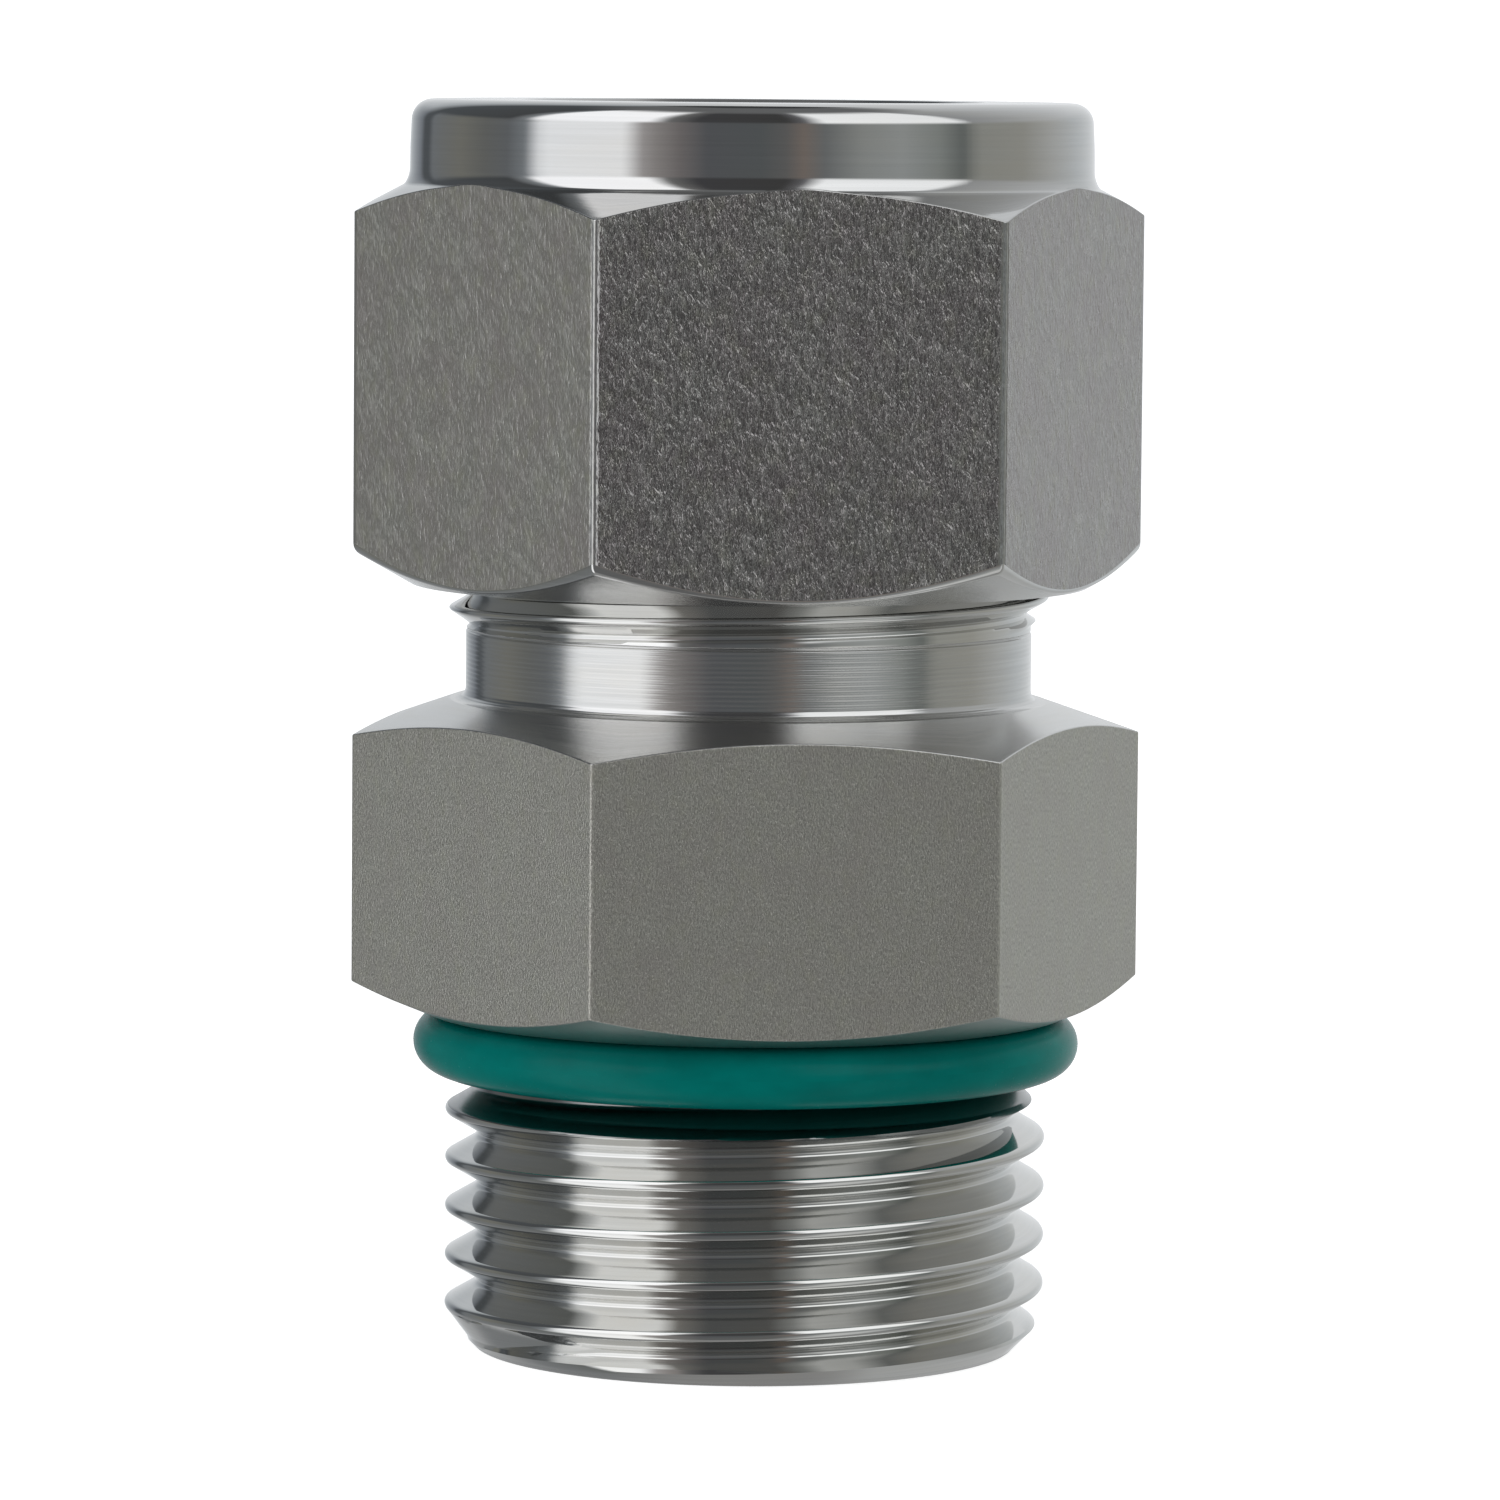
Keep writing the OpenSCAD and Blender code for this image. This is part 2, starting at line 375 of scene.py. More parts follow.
def steel_turned(name, base=(0.61, 0.61, 0.60), rough=0.17, lines=0.17, depth=0.0009, aniso=0.55, regular=0.0, dirt=0.10):
    """Turned stainless steel: fine lines round the axis, faint streaks, small colour drift."""
    mt, g, bs = new_material(name)
    uv = skin_uv(g)
    fine = g.noise(g.mapping(uv, scale=(0.04, 1.0 / lines, 1.0)), 1.0, 3.0, 0.6)
    finer = g.noise(g.mapping(uv, scale=(0.15, 3.2 / lines, 1.0), loc=(3.1, 7.7, 0.0)), 1.0, 2.0, 0.5)
    height = g.math("MULTIPLY_ADD", finer, 0.35, fine)
    if regular > 0:
        sep = g.node("ShaderNodeSeparateXYZ")
        g.put(sep.inputs[0], uv)
        wob = g.noise(g.mapping(uv, scale=(0.02, 0.8, 1.0)), 1.0, 1.0, 0.5)
        ph = g.math("MULTIPLY_ADD", sep.outputs[1], TAU / lines, g.math("MULTIPLY", wob, 2.5))
        height = g.math("MULTIPLY_ADD", g.math("SINE", ph), regular, height)
    cloud = g.noise(g.mapping(uv, scale=(0.25, 0.9, 1.0), loc=(11.0, 2.0, 0.0)), 1.0, 4.0, 0.6)
    streak = g.noise(g.mapping(uv, scale=(0.10, 7.0, 1.0), loc=(1.0, 9.0, 0.0)), 1.0, 3.0, 0.6)
    dark = tuple(c * (1.0 - dirt) for c in base)
    light = tuple(min(1.0, c * (1.0 + dirt * 0.5)) for c in base)
    col = g.mix(g.range(streak, 0.3, 0.7, 0.0, 1.0), dark, light)
    warm = (base[0] * 1.0, base[1] * 0.975, base[2] * 0.93)
    col = g.mix(g.range(cloud, 0.45, 0.8, 0.0, 0.6), col, warm)
    g.put(bs.inputs["Base Color"], col)
    bs.inputs["Metallic"].default_value = 1.0
    g.put(bs.inputs["Roughness"], g.range(g.math("MULTIPLY_ADD", cloud, 0.5, streak), 0.4, 1.1, rough * 0.8, rough * 1.25))
    bs.inputs["Anisotropic"].default_value = aniso
    bs.inputs["Anisotropic Rotation"].default_value = 0.25
    tan = g.node("ShaderNodeTangent", direction_type="RADIAL", axis="Z")
    g.put(bs.inputs["Tangent"], tan.outputs[0])
    g.put(bs.inputs["Normal"], g.bump(height, depth * MM * 4.0))
    return mt


def steel_flats(name, base, rough, grain_w, grain_l, slant, depth, contrast, tint, nick_glint_amount):
    """Milled and tumbled flats: short grains near upright, mottled colour, a few nicks painted near-white as glints,
    and each flat made lighter or darker by a painted shade.
    """
    mt, g, bs = new_material(name)
    uv = skin_uv(g)
    warp = g.noise(g.mapping(uv, scale=(0.5, 0.5, 1.0), loc=(5.0, 1.0, 0.0)), 1.0, 2.0, 0.5)
    turned = g.mapping(uv, rot=(0.0, 0.0, math.radians(slant)))
    add = g.node("ShaderNodeVectorMath", operation="ADD")
    g.put(add.inputs[0], g.mapping(turned, scale=(1.0 / grain_w, 1.0 / grain_l, 1.0)))
    comb = g.node("ShaderNodeCombineXYZ")
    g.put(comb.inputs[0], g.math("MULTIPLY", warp, 2.2))
    g.put(add.inputs[1], comb.outputs[0])
    grain = g.noise(add.outputs[0], 1.0, 2.0, 0.55, 0.3)
    small = g.noise(g.mapping(turned, scale=(2.3 / grain_w, 1.6 / grain_l, 1.0), loc=(9.0, 4.0, 0.0)), 1.0, 2.0, 0.6)
    big = g.noise(g.mapping(uv, scale=(0.55, 0.4, 1.0), loc=(2.0, 8.0, 0.0)), 1.0, 3.0, 0.6)
    mid = g.noise(g.mapping(uv, scale=(1.6, 1.1, 1.0), loc=(7.0, 3.0, 0.0)), 1.0, 3.0, 0.6)
    height = g.math("MULTIPLY_ADD", small, 0.35, grain)
    dark = tuple(c * (1.0 - contrast) for c in base)
    light = tuple(min(1.0, c * (1.0 + contrast)) for c in base)
    col = g.mix(g.range(grain, 0.32, 0.68, 0.0, 1.0), dark, light)
    col = g.mix(g.range(big, 0.35, 0.7, 0.0, tint), col, (base[0] * 0.92, base[1] * 0.86, base[2] * 0.90))
    col = g.mix(g.range(mid, 0.5, 0.75, 0.0, tint), col, (base[0] * 1.02, base[1] * 1.03, base[2] * 0.90))
    # the nicks are real marks, but their near-white colour is a painted glint standing in for the light they catch
    nick_glint = g.range(g.math("MULTIPLY", grain, small), 0.36, 0.46, 0.0, nick_glint_amount)
    col = g.mix(nick_glint, col, (0.9, 0.9, 0.88))
    sep = g.node("ShaderNodeSeparateXYZ")
    g.put(sep.inputs[0], uv)
    # painted shade and light: a factor for each flat scales its colour up or down, standing in for how the light falls
    # on that flat
    which = g.math("MULTIPLY_ADD", sep.outputs[0], 1.0 / 87.984, 1.0 / 12.0)
    painted_flat_shade = g.ramp(which, [(k / 6.0, c) for k, c in enumerate((0.97, 1.00, 1.03, 1.13, 0.98, 0.92))], "CONSTANT")
    col = g.mix(1.0, col, painted_flat_shade, "MULTIPLY")
    g.put(bs.inputs["Base Color"], col)
    bs.inputs["Metallic"].default_value = 1.0
    g.put(bs.inputs["Roughness"], g.range(grain, 0.3, 0.7, rough * 1.12, rough * 0.86))
    g.put(bs.inputs["Normal"], g.bump(height, depth * MM))
    return mt


def nut_flats(name, base):
    """Tumbled flats: sparse slanted flecks that are duller than the smooth ground between them, mottled colour, and
    each flat made lighter or darker by a painted shade.
    """
    mt, g, bs = new_material(name)
    uv = skin_uv(g)
    bend = g.noise(g.mapping(uv, scale=(0.7, 0.7, 1.0), loc=(5.0, 1.0, 0.0)), 1.0, 2.0, 0.5)
    comb = g.node("ShaderNodeCombineXYZ")
    g.put(comb.inputs[0], g.math("MULTIPLY", bend, 1.5))

    def warped(scale, loc, slant):
        add = g.node("ShaderNodeVectorMath", operation="ADD")
        g.put(add.inputs[0], g.mapping(g.mapping(uv, rot=(0.0, 0.0, math.radians(slant))), scale=scale, loc=loc))
        g.put(add.inputs[1], comb.outputs[0])
        return add.outputs[0]

    cluster = g.noise(warped((2.6, 0.7, 1.0), (3.0, 14.0, 0.0), -42.0), 1.0, 2.0, 0.5)
    fleck = g.noise(warped((7.0, 2.4, 1.0), (0.0, 0.0, 0.0), -6.0), 1.0, 2.0, 0.6, 0.3)
    fine = g.noise(warped((16.0, 5.0, 1.0), (9.0, 4.0, 0.0), 3.0), 1.0, 2.0, 0.6)
    big = g.noise(g.mapping(uv, scale=(0.45, 0.35, 1.0), loc=(2.0, 8.0, 0.0)), 1.0, 3.0, 0.6)
    mid = g.noise(g.mapping(uv, scale=(1.4, 1.0, 1.0), loc=(7.0, 3.0, 0.0)), 1.0, 3.0, 0.6)
    raised = g.math("MULTIPLY_ADD", cluster, 0.85, fleck)
    mask = g.range(raised, 0.84, 1.12, 0.0, 1.0, True)
    height = g.math("MULTIPLY_ADD", fine, 0.35, raised)
    speck = g.range(fine, 0.44, 0.60, 0.0, 1.0, True)
    sep = g.node("ShaderNodeSeparateXYZ")
    g.put(sep.inputs[0], uv)
    which = g.math("MULTIPLY_ADD", sep.outputs[0], 1.0 / 87.984, 1.0 / 12.0)
    coarse = g.ramp(which, [(k / 6.0, c) for k, c in enumerate((0.80, 0.70, 0.85, 0.38, 1.14, 0.90))], "CONSTANT")
    # painted shade and light: one flat is painted half as bright again and another a quarter darker, standing in for
    # how the light falls on each flat
    painted_flat_shade = g.ramp(which, [(k / 6.0, c) for k, c in enumerate((0.97, 1.00, 0.95, (1.50, 1.51, 1.46), 0.74, 0.98))], "CONSTANT")
    dull = g.ramp(which, [(k / 6.0, c) for k, c in enumerate((0.20, 0.18, 0.20, 0.29, 0.15, 0.18))], "CONSTANT")
    finer = g.ramp(which, [(k / 6.0, c) for k, c in enumerate((0.3, 0.2, 0.3, 0.45, 0.0, 0.5))], "CONSTANT")
    mask = g.math("MULTIPLY_ADD", g.math("SUBTRACT", speck, mask), finer, mask)
    edge = g.range(g.math("ABSOLUTE", g.math("WRAP", sep.outputs[0], 7.332, -7.332)), 7.10, 7.25, 0.0, 1.0, True)
    height = g.math("MULTIPLY", g.math("MULTIPLY", height, coarse), g.range(edge, 0.0, 1.0, 1.0, 0.3))
    dark = tuple(c * 0.86 for c in base)
    light = tuple(min(1.0, c * 1.24) for c in base)
    col = g.mix(mask, dark, light)
    col = g.mix(g.range(big, 0.35, 0.7, 0.0, 0.7), col, (base[0] * 0.93, base[1] * 0.87, base[2] * 0.91))
    col = g.mix(g.range(mid, 0.5, 0.75, 0.0, 0.6), col, (base[0] * 1.02, base[1] * 1.03, base[2] * 0.90))
    col = g.mix(1.0, col, painted_flat_shade, "MULTIPLY")
    col = g.mix(g.math("MULTIPLY", edge, 0.6), col, (0.50, 0.51, 0.505))
    g.put(bs.inputs["Base Color"], col)
    bs.inputs["Metallic"].default_value = 1.0
    g.put(bs.inputs["Roughness"], g.math("MULTIPLY_ADD", mask, 0.10, dull))
    g.put(bs.inputs["Normal"], g.bump(height, 0.068 * MM))
    return mt


def rubber(name):
    mt, g, bs = new_material(name)
    uv = skin_uv(g)
    big = g.noise(g.mapping(uv, scale=(0.5, 0.7, 1.0)), 1.0, 3.0, 0.6)
    fine = g.noise(g.mapping(uv, scale=(6.0, 6.0, 1.0), loc=(4.0, 4.0, 0.0)), 1.0, 3.0, 0.6)
    col = g.mix(g.range(big, 0.3, 0.7, 0.0, 1.0), (0.000, 0.215, 0.188), (0.000, 0.262, 0.228))
    g.put(bs.inputs["Base Color"], col)
    g.put(bs.inputs["Roughness"], g.range(fine, 0.3, 0.7, 0.20, 0.28))
    bs.inputs["IOR"].default_value = 1.5
    bs.inputs["Specular IOR Level"].default_value = 0.07
    g.put(bs.inputs["Normal"], g.bump(g.math("MULTIPLY_ADD", big, 1.5, fine), 0.003 * MM))
    return mt


M_BODY_TURN = steel_turned("body_turned", base=(0.67, 0.67, 0.66), rough=0.23, depth=0.0002, aniso=0.1)
M_BODY_FLAT = steel_flats("body_flats", (0.545, 0.54, 0.49), 0.37, 0.058, 0.13, 6.0, 0.026, 0.26, 0.4, 0.06)
M_BODY_NECK = steel_turned("body_neck", base=(0.64, 0.64, 0.63), rough=0.15, lines=0.17, depth=0.0008, regular=1.2, aniso=0.55)
M_BODY_THREAD = steel_turned("body_thread", base=(0.67, 0.67, 0.655), rough=0.055, lines=0.30, depth=0.0002, aniso=0.0, dirt=0.05)
# painted shade: the groove wall and cone under the ring get a dark base colour that stands in for the shade there
M_BODY_GROOVE_SHADE = steel_turned("body_groove_shade", base=(0.30, 0.31, 0.31), rough=0.20, lines=0.30, depth=0.0003, aniso=0.1, dirt=0.15)
M_BODY_UNDER = steel_turned("body_under", base=(0.58, 0.59, 0.58), rough=0.40, lines=0.20, depth=0.0004, aniso=0.1)
M_NUT_TURN = steel_turned("nut_turned", base=(0.61, 0.61, 0.605), rough=0.055, depth=0.0002, aniso=0.1, dirt=0.06)
M_NUT_CONE = steel_turned("nut_cone", base=(0.70, 0.70, 0.69), rough=0.12, depth=0.0002, aniso=0.1)
M_NUT_FLAT = nut_flats("nut_flats", (0.475, 0.465, 0.45))
M_NUT_THREAD = steel_turned("nut_thread", rough=0.18, lines=0.12, aniso=0.3)
M_FERRULE = steel_turned("ferrule_turned", base=(0.66, 0.66, 0.65), rough=0.12)
M_RUBBER = rubber("ring_rubber")

TURN, FLAT, NECK, THREAD, GROOVE, UNDER = 0, 1, 2, 3, 4, 5
BODY_MATS = [M_BODY_TURN, M_BODY_FLAT, M_BODY_NECK, M_BODY_THREAD, M_BODY_GROOVE_SHADE, M_BODY_UNDER]
NUT_MATS = [M_NUT_TURN, M_NUT_FLAT, M_NUT_CONE, M_NUT_THREAD]


# ---------------------------------------------------------------- body
def port_crest(th):
    return 2.43 + PORT_PITCH * (th + math.radians(7.9)) / TAU


def neck_crest(th):
    return 27.62 + NECK_PITCH * (th + math.radians(97.9)) / TAU


def port_outline(s):
    return vee(s, 11.10, 0.22, 0.20, PORT_PITCH)


def neck_outline(s):
    return vee(s, 11.05, 0.16, 0.15, NECK_PITCH)


def make_body():
    w = Rows()
    HR = hex_radius(TH, BODY_EDGE)
    t22 = math.tan(math.radians(22.5))
    w.path([(6.35, 0.9), (6.35, 0.4, 0.06), (6.75, 0.0, 0.06), (9.98, 0.0, 0.12), (9.98 + 0.18, 0.18)], TURN)

    # the groove of the first turn is shallow where the cut begins
    begin = np.clip((82.0 - np.abs(np.degrees(TH) - 172.0)) / 55.0, 0.0, 1.0)

    def port_limit(z, r, k):
        ramp = np.minimum(9.98 + 0.75 * z, 11.06 - np.maximum(z - 1.45, 0.0) * 2.2)
        r = soft_max(r, ramp - (1.0 - begin) * 1.3, k)
        r = soft_min(r, 9.98 + z, k)
        return soft_min(r, np.maximum(11.10 - (z - 9.0) * 1.58, 10.5 - (z - 9.38) * 0.79), k)

    w.tag[-1] = THREAD
    for z0, z1 in ((0.20, 1.10), (1.14, 8.97), (9.01, 9.38), (9.40, 10.02)):
        tag = THREAD if z1 < 9.0 else GROOVE
        w.tag[-1] = tag
        w.thread(z0, z1, PORT_PITCH, port_crest,
                 [-0.47, -0.44, -0.41, -0.375, -0.29, -0.20, -0.125, -0.10, -0.075, -0.045, -0.015,
                  0.015, 0.045, 0.075, 0.10, 0.125, 0.20, 0.29, 0.375, 0.41, 0.44, 0.47, 0.5],
                 port_outline, port_limit, tag, length=3.0)
    w.tag[-1] = GROOVE
    w.path([(9.985, 10.03), (9.9, 10.35, 0.15), (9.9, 12.5, 0.12), (11.9, 12.5), ], GROOVE)
    w.r.pop(); w.z.pop(); w.v.pop(); w.tag.pop()
    zb = 12.5 + (HR - 11.9) * t22
    w.corner((9.9, 12.5), (11.9, 12.5), (HR, zb), 0.06, UNDER, UNDER)
    zt = 24.0 - (HR - 11.0) * 0.348
    w.corner((11.9, 12.5), (HR, zb), (HR, zt), 0.07, UNDER, FLAT, v_is_z=True)
    for f in (0.25, 0.5, 0.75):
        w.add(HR, zb + (zt - zb) * f, FLAT, v=zb + (zt - zb) * f)
    w.corner((HR, zb), (HR, zt), (11.0, 24.0), 0.07, FLAT, TURN, v_is_z=True)
    w.corner((HR, zt), (11.0, 24.0), (10.9, 24.0), 0.15, TURN, TURN)
    w.corner((11.0, 24.0), (10.42, 24.0), (10.42, 26.3), 0.42, TURN, NECK, n=7, support=0.02)
    w.path([(10.42, 25.0), (10.42, 25.8), (10.42, 26.50, 0.05), (10.37, 26.56, 0.03), (10.39, 26.62)], NECK)

    def neck_limit(z, r, k):
        r = soft_min(r, 10.40 + np.maximum(z - 26.88, 0.0) * 1.5, k)
        r = soft_max(r, 10.395 - (z - 26.64) * 1.2, 0.01)
        return soft_min(r, 11.05 - (z - 36.35), k)

    w.thread(26.64, 36.99, NECK_PITCH, neck_crest,
             [-0.44, -0.38, -0.26, -0.14, -0.105, -0.06, -0.02,
              0.02, 0.06, 0.105, 0.14, 0.26, 0.38, 0.44, 0.5],
             neck_outline, neck_limit, THREAD, length=2.2)
    w.tag[-1] = TURN
    w.path([(10.2, 37.0), (9.8, 37.0), (9.191, 37.0, 0.05), (7.99, 33.7, 0.10), (7.99, 21.6, 0.10), (6.35, 21.6, 0.08),
            (6.35, 12.0), (6.35, 1.5)], TURN)
    return build("fitting_body", w, BODY_MATS)


# ---------------------------------------------------------------- nut
COLLAR_R = 12.56
COLLAR_Z = 43.515                      # where the collar's wall ends and the rounds begin
F1, N1 = 1.10, math.radians(30.0)      # wide round, up to this slope of the normal
F2, N2 = 0.30, math.radians(62.0)      # tight round, and the cone's normal
RA = COLLAR_R + F1 * (1.0 - math.cos(N1))
ZA = COLLAR_Z - F1 * math.sin(N1)
RB = RA + F2 * (math.cos(N1) - math.cos(N2))
ZB = ZA - F2 * (math.sin(N2) - math.sin(N1))


def shoulder_r(n):
    """Radius at which the rounds' normal rises n."""
    return RA + F2 * (math.cos(N1) - math.cos(n)) if n > N1 else COLLAR_R + F1 * (1.0 - math.cos(n))


def shoulder(r):
    """Height of the turned shoulder at radius r, and how far its normal rises."""
    n1 = np.arccos(np.clip(1.0 - (np.minimum(r, RA) - COLLAR_R) / F1, -1.0, 1.0))
    n2 = np.arccos(np.clip(math.cos(N1) - (np.clip(r, RA, RB) - RA) / F2, -1.0, 1.0))
    z1 = COLLAR_Z - F1 * np.sin(n1)
    z2 = ZA - F2 * (np.sin(n2) - math.sin(N1))
    z3 = ZB - (r - RB) / math.tan(N2)
    return np.where(r <= RA, z1, np.where(r <= RB, z2, z3)), np.where(r <= RA, n1, np.where(r <= RB, n2, N2))


def make_nut():
    w = Rows()
    HR = hex_radius(TH, NUT_EDGE)
    slope = math.tan(math.radians(29.5))
    w.path([(11.12, NUT_Z + 0.14), (11.26, NUT_Z, 0.03), (12.48, NUT_Z)], TURN)
    w.r.pop(); w.z.pop(); w.v.pop(); w.tag.pop()
    zb = NUT_Z + (HR - 12.48) * slope
    w.corner((11.26, NUT_Z), (12.48, NUT_Z), (HR, zb), 0.05, NECK, NECK, support=0.02)
    zt, al = shoulder(HR)
    # the round from the cone to the flats widens towards the corners
    w.corner((12.48, NUT_Z), (HR, zb), (HR, zt), 0.12 + (HR - HEX_A) * 0.18, NECK, NECK, n=4, support=0.02, v_is_z=True)
    w.tag[-1] = FLAT
    for f in (0.25, 0.5, 0.75):
        w.add(HR, zb + (zt - zb) * f, FLAT, v=zb + (zt - zb) * f)
    w.bend((HR, zt), (0.0 * HR, -1.0 + 0.0 * HR), (-np.sin(al), np.cos(al)), 0.06, 3, FLAT, TURN, support=0.02, v_is_z=True)
    r0 = w.r[-1].copy()
    for deg in (62.0, 58.0, 53.5, 49.0, 44.0, 39.0, 34.5, 30.0, 26.0, 22.0, 18.5, 15.0, 11.5, 8.0, 5.0, 2.5, 0.0):
        r = np.minimum(shoulder_r(math.radians(deg)), r0)
        w.add(r, shoulder(r)[0], TURN)
    w.path([(COLLAR_R, COLLAR_Z), (12.55, 44.3), (12.52, 44.95), (12.48, 46.0, 0.78, 10), (8.55, 46.0, 0.06), (8.1, 45.55, 0.08),
            (8.1, 42.15, 0.10), (9.75, 40.5, 0.2), (9.75, 38.95, 0.08), (11.15, 38.95, 0.12), (11.15, 37.95, 0.10),
            (10.60, 37.55), ], TURN)
    w.r.pop(); w.z.pop(); w.v.pop(); w.tag.pop()

    def outline(s):
        q = np.abs(s)
        flank = 11.05 - 0.08 - (q - 0.1386) * math.sqrt(3.0) + 0.09
        return soft_max(soft_min(flank, 11.12 + 0.0 * q, 0.03), 10.42 + 0.0 * q, 0.03)

    def limit(z, r, k):
        r = soft_max(r, 11.15 - np.maximum(37.9 - z, 0.0) * 1.4, k)
        return soft_max(r, 11.26 - (z - NUT_Z), k)

    w.tag[-1] = THREAD
    w.thread(NUT_Z + 0.15, 37.88, NECK_PITCH, neck_crest,
             [-0.5, -0.45, -0.38, -0.34, -0.30, -0.24, -0.18, -0.12, -0.08, -0.04,
              0.04, 0.08, 0.12, 0.18, 0.24, 0.30, 0.34, 0.38, 0.45],
             outline, limit, THREAD, down=True, length=2.2)
    w.tag[-1] = TURN
    return build("fitting_nut", w, NUT_MATS)


# ---------------------------------------------------------------- ferrules and ring
def ring_of(name, pts, mats, rad=0.05):
    """A closed turned outline with every corner rounded."""
    w = Rows()
    n = len(pts)
    for k in range(n):
        w.corner(pts[k - 1], pts[k], pts[(k + 1) % n], rad, TURN, TURN, n=3, support=0.02)
    return build(name, w, mats)


def make_ring():
    w = Rows()
    n = 44
    for k in range(n):
        a = TAU * k / n
        w.add(11.11 + 1.19 * math.cos(a), 11.33 + 1.14 * math.sin(a), TURN)
    return build("fitting_ring", w, [M_RUBBER], sharp=60.0)


body = make_body()
nut = make_nut()
front = ring_of("fitting_front_ferrule", [(8.01, 34.5), (8.267, 34.5), (9.42, 37.669), (9.42, 39.25), (9.17, 39.5), (9.01, 39.5), (8.01, 38.4)],
                [M_FERRULE], 0.04)
back = ring_of("fitting_back_ferrule", [(8.01, 38.715), (8.26, 38.715), (9.01, 39.54), (9.01, 39.66), (9.21, 39.66), (9.36, 39.81),
                                        (9.36, 40.85), (8.26, 41.95), (8.01, 41.95)], [M_FERRULE], 0.025)
ring = make_ring()

for piece, body_name, node, slot in (
    (body, "main", "body", "body_steel"),
    (ring, "main", "o_ring", "ring_rubber"),
    (front, "ferrule_set", "front_ferrule", "ferrule_steel"),
    (back, "ferrule_set", "back_ferrule", "ferrule_steel"),
    (nut, "nut_group", "nut", "nut_steel"),
):
    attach(piece, body_name)
    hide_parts(node)


# ---------------------------------------------------------------- floor
def make_floor():
    rings = [0.0, 0.01, 0.02, 0.04, 0.08, 0.2, 0.6, 2.0, 6.0, 20.0, 60.0]
    n = 96
    verts, faces = [(0.0, 0.0, 0.0)], []
    for r in rings[1:]:
        verts += [(r * math.cos(TAU * k / n), r * math.sin(TAU * k / n), 0.0) for k in range(n)]
    for k in range(n):
        faces.append((0, 1 + k, 1 + (k + 1) % n))
    for j in range(len(rings) - 2):
        a, b = 1 + j * n, 1 + (j + 1) * n
        for k in range(n):
            faces.append((a + k, b + k, b + (k + 1) % n, a + (k + 1) % n))
    me = bpy.data.meshes.new("floor")
    me.from_pydata(verts, [], faces)
    me.update()
    ob = bpy.data.objects.new("floor", me)
    bpy.context.scene.collection.objects.link(ob)
    mt = bpy.data.materials.new("floor_white")
    mt.use_nodes = True
    mt.node_tree.nodes.clear()
    g = Graph(mt.node_tree)
    df = g.node("ShaderNodeBsdfDiffuse")
    df.inputs[0].default_value = (0.80, 0.80, 0.80, 1.0)
    em = g.node("ShaderNodeEmission")
    em.inputs[0].default_value = (1.0, 1.0, 1.0, 1.0)
    em.inputs[1].default_value = 0.76
    ad = g.node("ShaderNodeAddShader")
    g.l.new(df.outputs[0], ad.inputs[0])
    g.l.new(em.outputs[0], ad.inputs[1])
    out = g.node("ShaderNodeOutputMaterial")
    g.l.new(ad.outputs[0], out.inputs[0])
    me.materials.append(mt)
    ob.visible_glossy = False
    ob.visible_diffuse = False
    return ob


make_floor()


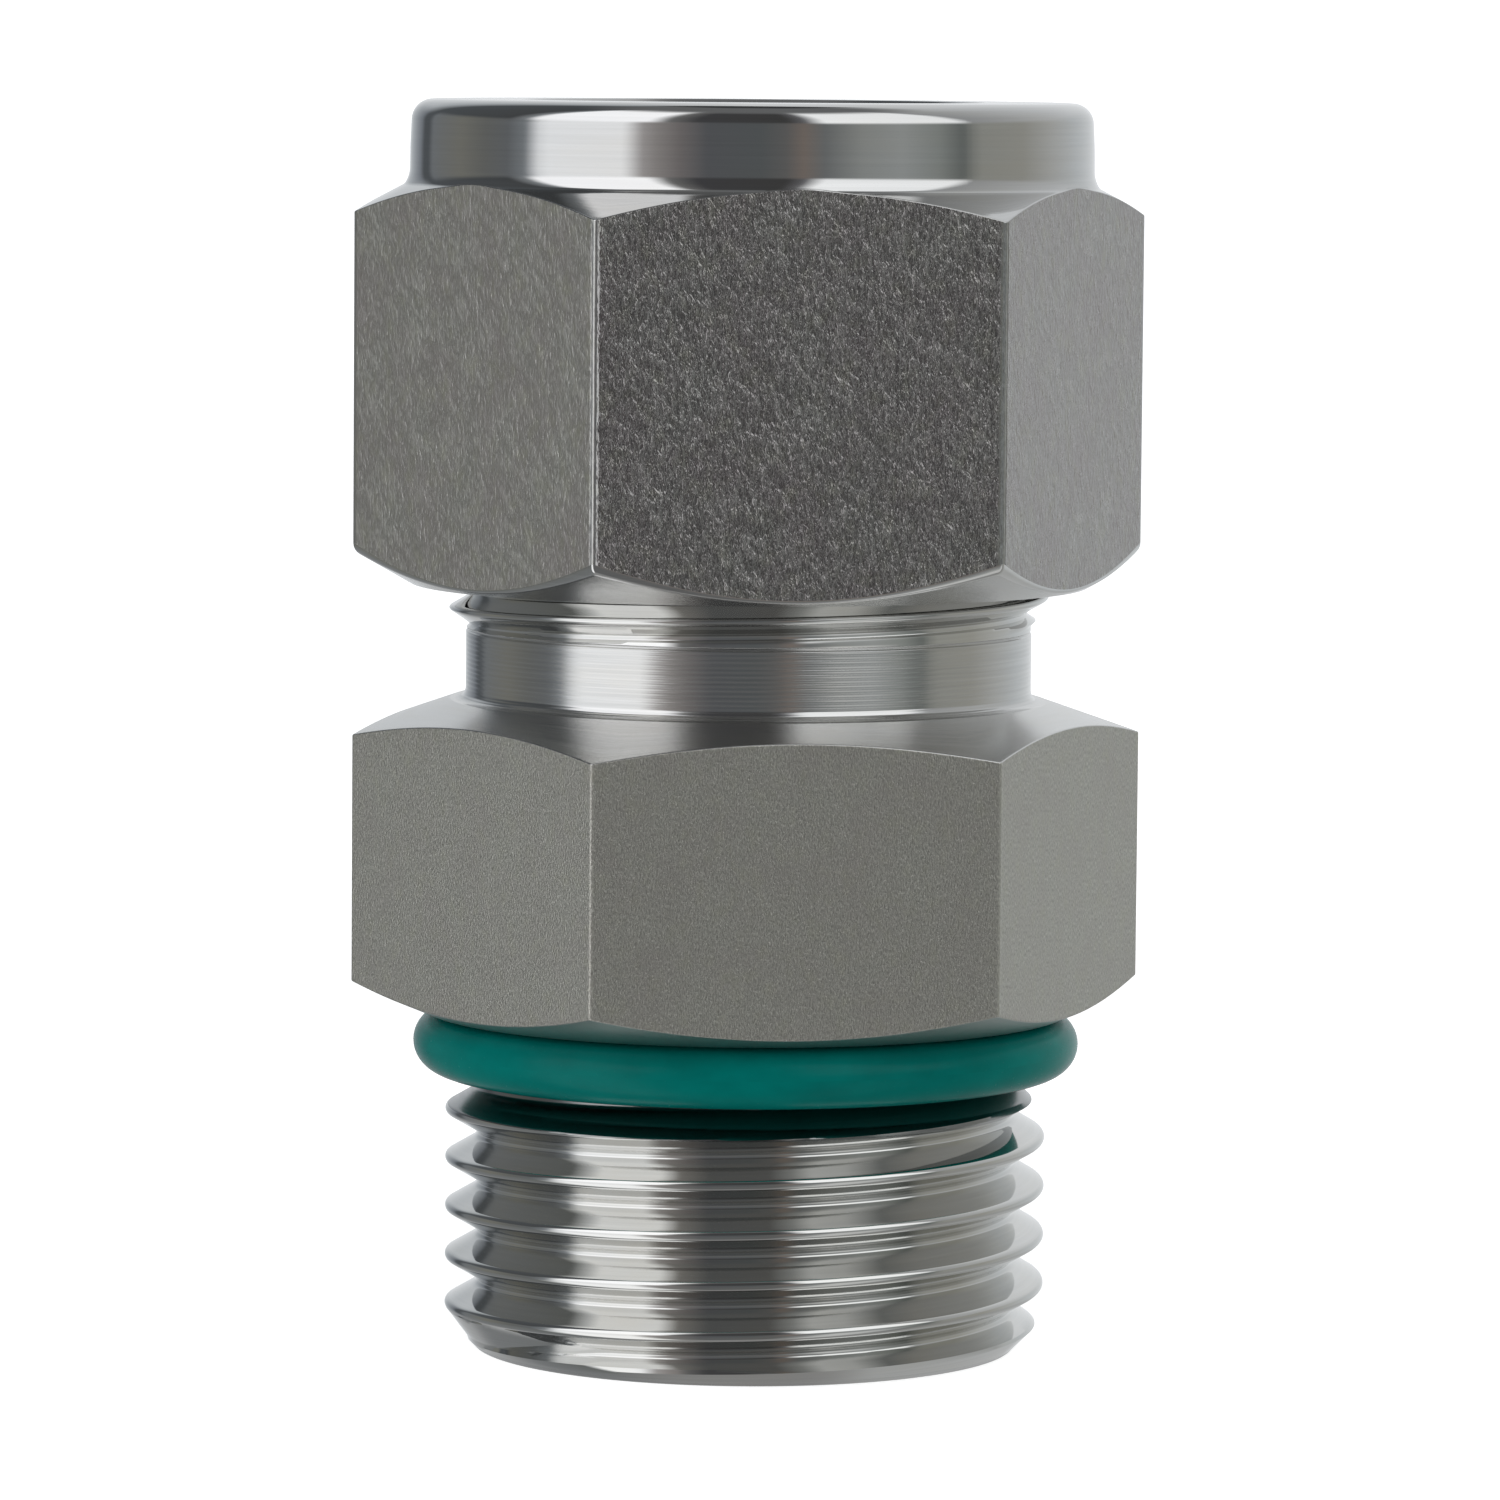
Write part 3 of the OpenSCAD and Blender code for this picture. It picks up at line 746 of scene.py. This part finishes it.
# ---------------------------------------------------------------- light
def make_world():
    """A soft studio: wide light panels and dark gaps round the object, grey overhead, white below."""
    wd = bpy.data.worlds.new("studio")
    bpy.context.scene.world = wd
    wd.use_nodes = True
    wd.node_tree.nodes.clear()
    g = Graph(wd.node_tree)
    tc = g.node("ShaderNodeTexCoord").outputs["Generated"]
    a = math.radians(VIEW_AZ)

    def dot(v):
        nd = g.node("ShaderNodeVectorMath", operation="DOT_PRODUCT")
        g.put(nd.inputs[0], tc)
        nd.inputs[1].default_value = v
        return nd.outputs["Value"]

    side = dot((math.cos(a), math.sin(a), 0.0))
    front_ = dot((math.sin(a), -math.cos(a), 0.0))
    up = dot((0.0, 0.0, 1.0))
    az = g.math("ARCTAN2", side, front_)
    fac = g.range(az, -math.pi, math.pi, 0.0, 1.0)

    def stops(pairs):
        return [((d + 180.0) / 360.0, c) for d, c in pairs]

    level = g.ramp(fac, stops([
        (-180, (0.84, 0.86, 0.88)), (-163, (0.46, 0.49, 0.52)), (-149, (0.22, 0.24, 0.27)), (-145, (0.10, 0.11, 0.12)),
        (-140, (0.10, 0.11, 0.12)), (-136, (0.20, 0.215, 0.23)), (-115, (0.22, 0.22, 0.20)), (-101, (0.17, 0.175, 0.17)),
        (-90, (0.16, 0.17, 0.18)), (-82, (0.24, 0.26, 0.28)), (-76, (1.00, 1.02, 1.05)), (-72, (1.15, 1.17, 1.20)),
        (-43, (1.15, 1.16, 1.18)), (-37, (0.45, 0.43, 0.43)), (-32, (0.33, 0.31, 0.305)), (-24, (0.21, 0.195, 0.195)),
        (-15, (0.12, 0.125, 0.135)), (3, (0.12, 0.13, 0.135)), (11, (0.15, 0.15, 0.15)), (17, (0.23, 0.195, 0.175)),
        (24, (0.19, 0.20, 0.205)), (37, (0.33, 0.345, 0.34)), (51, (0.38, 0.40, 0.40)), (65, (0.29, 0.31, 0.30)),
        (74, (0.17, 0.185, 0.18)), (83, (0.35, 0.355, 0.33)), (103, (0.38, 0.38, 0.35)), (120, (0.50, 0.51, 0.50)),
        (140, (0.60, 0.63, 0.65)), (180, (0.84, 0.86, 0.88))]))
    upper = g.ramp(fac, stops([
        (-180, (0.86, 0.88, 0.90)), (-155, (0.50, 0.53, 0.56)), (-142, (0.10, 0.11, 0.12)), (-92, (0.08, 0.085, 0.09)),
        (-84, (0.30, 0.32, 0.34)), (-79, (1.45, 1.46, 1.50)), (-36, (1.45, 1.46, 1.50)), (-29, (0.20, 0.20, 0.20)),
        (-19, (0.07, 0.07, 0.075)), (12, (0.065, 0.065, 0.065)), (18, (0.16, 0.16, 0.17)), (25, (1.30, 1.32, 1.34)),
        (74, (1.25, 1.27, 1.29)), (81, (0.40, 0.41, 0.42)), (105, (0.50, 0.51, 0.51)), (150, (0.72, 0.74, 0.76)),
        (180, (0.86, 0.88, 0.90))]))
    lower = g.ramp(fac, stops([
        (-180, (0.55, 0.56, 0.57)), (-140, (0.24, 0.25, 0.26)), (-88, (0.18, 0.19, 0.19)), (-79, (0.80, 0.82, 0.84)),
        (-73, (1.30, 1.31, 1.33)), (-43, (1.30, 1.31, 1.33)), (-33, (0.30, 0.29, 0.28)), (-17, (0.14, 0.145, 0.15)),
        (15, (0.15, 0.15, 0.15)), (27, (0.34, 0.35, 0.35)), (37, (0.68, 0.69, 0.69)), (53, (0.62, 0.63, 0.63)),
        (71, (0.22, 0.23, 0.23)), (87, (0.32, 0.32, 0.31)), (130, (0.44, 0.45, 0.45)), (180, (0.55, 0.56, 0.57))]))
    c = g.mix(g.range(up, 0.16, 0.34, 0.0, 1.0, True), level, upper)
    c = g.mix(g.range(up, 0.84, 0.96, 0.0, 1.0, True), c, (0.18, 0.185, 0.19))
    rear = g.math("MULTIPLY", g.range(g.math("ABSOLUTE", az), math.radians(145.0), math.radians(165.0), 0.0, 1.0, True),
                  g.range(g.math("ABSOLUTE", g.math("SUBTRACT", up, 0.925)), 0.035, 0.075, 1.0, 0.0, True))
    c = g.mix(rear, c, (0.05, 0.052, 0.055))
    c = g.mix(g.range(up, -0.14, -0.36, 0.0, 1.0, True), c, lower)
    c = g.mix(g.range(up, -0.86, -0.97, 0.0, 1.0, True), c, (0.30, 0.30, 0.30))
    bg = g.node("ShaderNodeBackground")
    g.put(bg.inputs[0], c)
    bg.inputs[1].default_value = 1.0
    clean = g.node("ShaderNodeBackground")
    clean.inputs[0].default_value = (1.0, 1.0, 1.0, 1.0)
    clean.inputs[1].default_value = 1.2
    lp = g.node("ShaderNodeLightPath")
    mx = g.node("ShaderNodeMixShader")
    g.l.new(lp.outputs["Is Camera Ray"], mx.inputs[0])
    g.l.new(bg.outputs[0], mx.inputs[1])
    g.l.new(clean.outputs[0], mx.inputs[2])
    out = g.node("ShaderNodeOutputWorld")
    g.l.new(mx.outputs[0], out.inputs[0])


make_world()


# ---------------------------------------------------------------- camera
def make_camera():
    a, e, roll = math.radians(VIEW_AZ), math.radians(VIEW_EL), math.radians(0.46)
    back_v = Vector((math.sin(a) * math.cos(e), -math.cos(a) * math.cos(e), math.sin(e)))
    right = Vector((math.cos(a), math.sin(a), 0.0))
    up = back_v.cross(right)
    x = right * math.cos(roll) + up * math.sin(roll)
    y = up * math.cos(roll) - right * math.sin(roll)
    cam = bpy.data.cameras.new("camera")
    cam.sensor_width = 36.0
    cam.lens = 194.98
    cam.clip_start, cam.clip_end = 0.01, 200.0
    ob = bpy.data.objects.new("camera", cam)
    bpy.context.scene.collection.objects.link(ob)
    loc = Vector((0.0, 0.0, 22.1 * MM)) + back_v * 0.300 + right * 0.081 * MM
    m = Matrix((x, y, back_v)).transposed().to_4x4()
    m.translation = loc
    ob.matrix_world = m
    bpy.context.scene.camera = ob


make_camera()
bpy.context.scene.view_settings.view_transform = "Standard"
